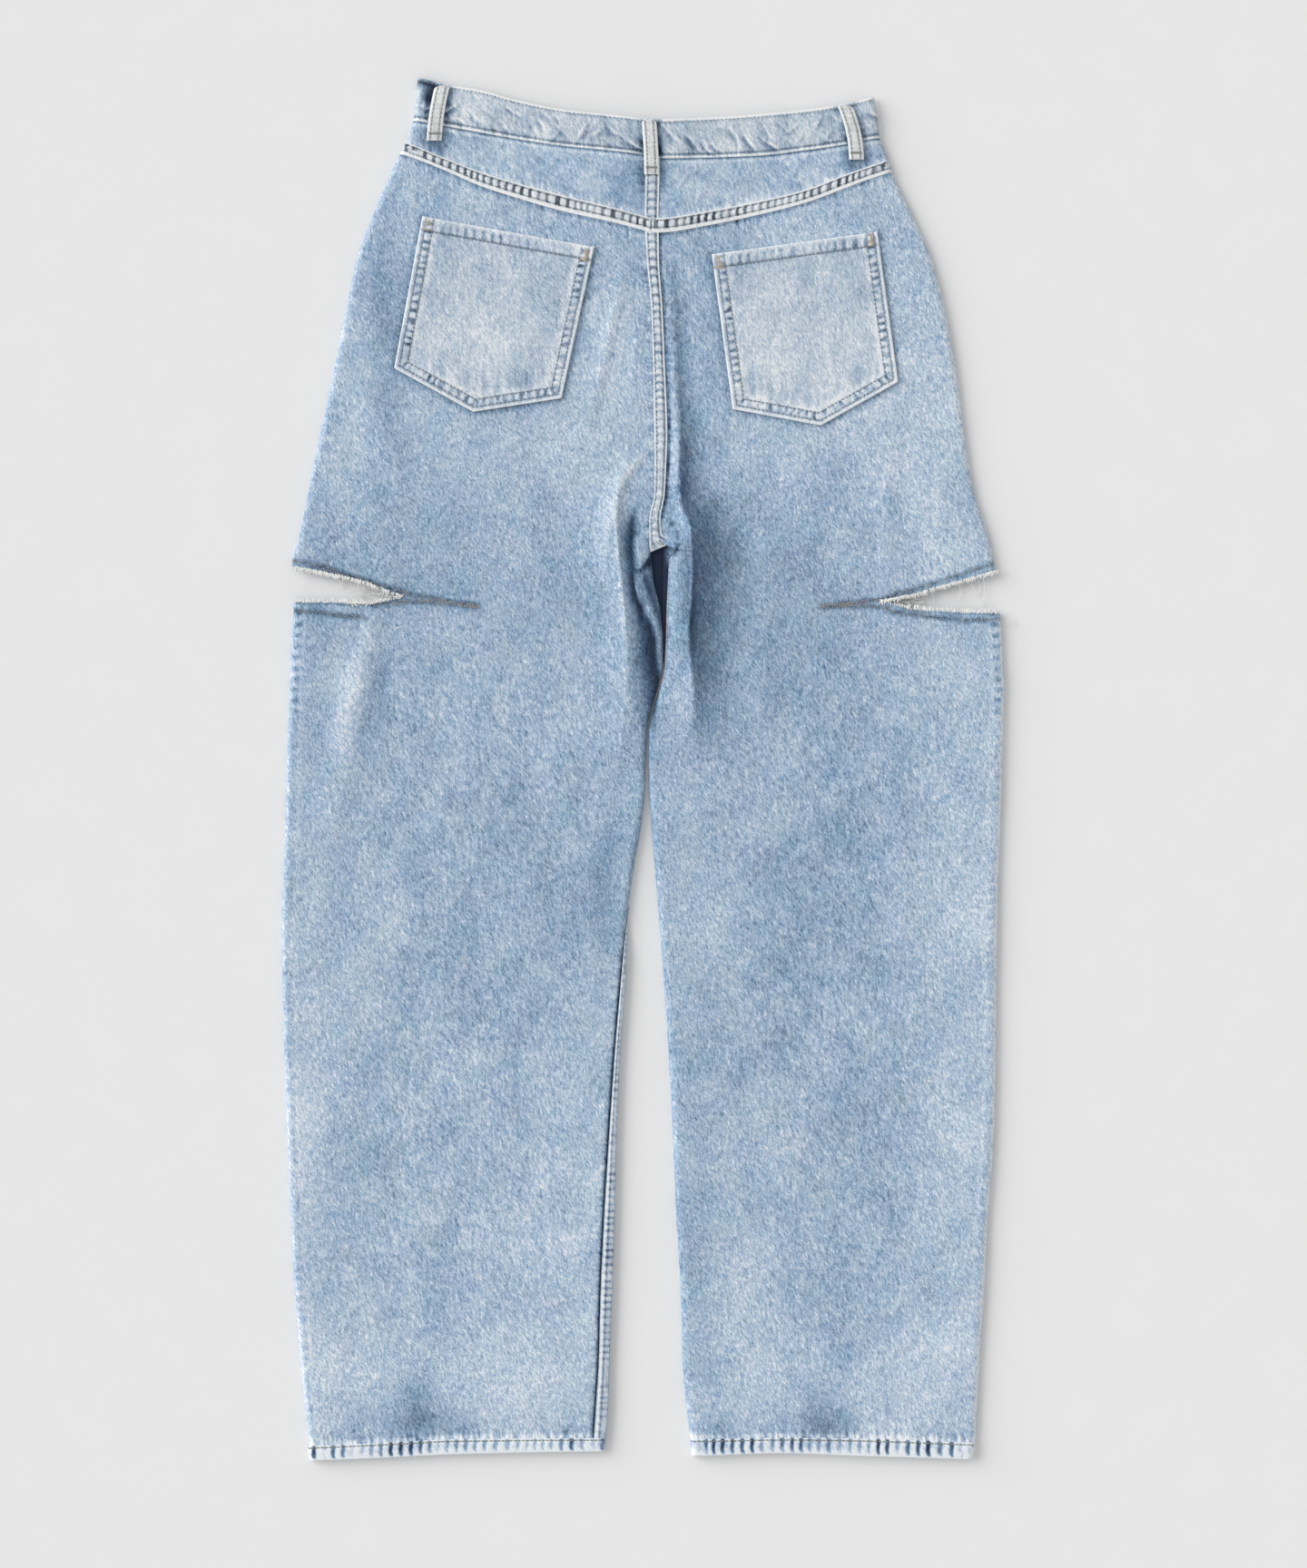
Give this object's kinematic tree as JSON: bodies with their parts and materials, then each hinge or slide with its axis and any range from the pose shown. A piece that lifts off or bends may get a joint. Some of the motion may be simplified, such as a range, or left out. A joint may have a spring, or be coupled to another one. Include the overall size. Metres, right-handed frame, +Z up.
{
  "type": "ripped jeans",
  "caption": "Wide barrel-leg jeans in washed blue denim, laid flat with the back up, both knees slit open from the side seam.",
  "frame": {"origin": "on the surface the jeans lie on, under the middle of their length and width", "axes": "+Y up the garment from the hems to the waist, +X across to the wearer's right, +Z up from the surface, out of the garment's back"},
  "size_m": [0.557, 1.065, 0.0139],
  "materials": {
    "denim": "washed indigo twill",
    "waistband_denim": "washed indigo twill, doubled",
    "seam_denim": "worn felled seams with dark and pale bars",
    "hem_denim": "worn turned-up hem with dark and pale bars",
    "pocket_denim": "washed indigo twill, paler",
    "loop_denim": "bleached folded straps",
    "button_metal": "aged"
  },
  "bodies": {
    "root": {"front_leg_left": "denim", "front_seat_left": "denim", "front_leg_right": "denim", "front_seat_right": "denim", "back_leg_left": "denim", "back_seat_left": "denim", "back_leg_right": "denim", "back_seat_right": "denim", "yoke_left": "denim", "yoke_right": "denim", "waistband_back": "waistband_denim", "waistband_front_left": "waistband_denim", "waistband_front_right": "waistband_denim", "yoke_seam_left": "seam_denim", "yoke_seam_right": "seam_denim", "centre_back_seam": "seam_denim", "yoke_centre_seam": "seam_denim", "inseam_left": "seam_denim", "hem_back_left": "hem_denim", "hem_back_right": "hem_denim", "hem_front_left": "hem_denim", "hem_front_right": "hem_denim", "pocket_left": "pocket_denim", "pocket_right": "pocket_denim", "belt_loop_left": "loop_denim", "belt_loop_centre": "loop_denim", "belt_loop_right": "loop_denim", "fly_underlap": "denim", "waist_button": "button_metal"}
  },
  "joints": []
}
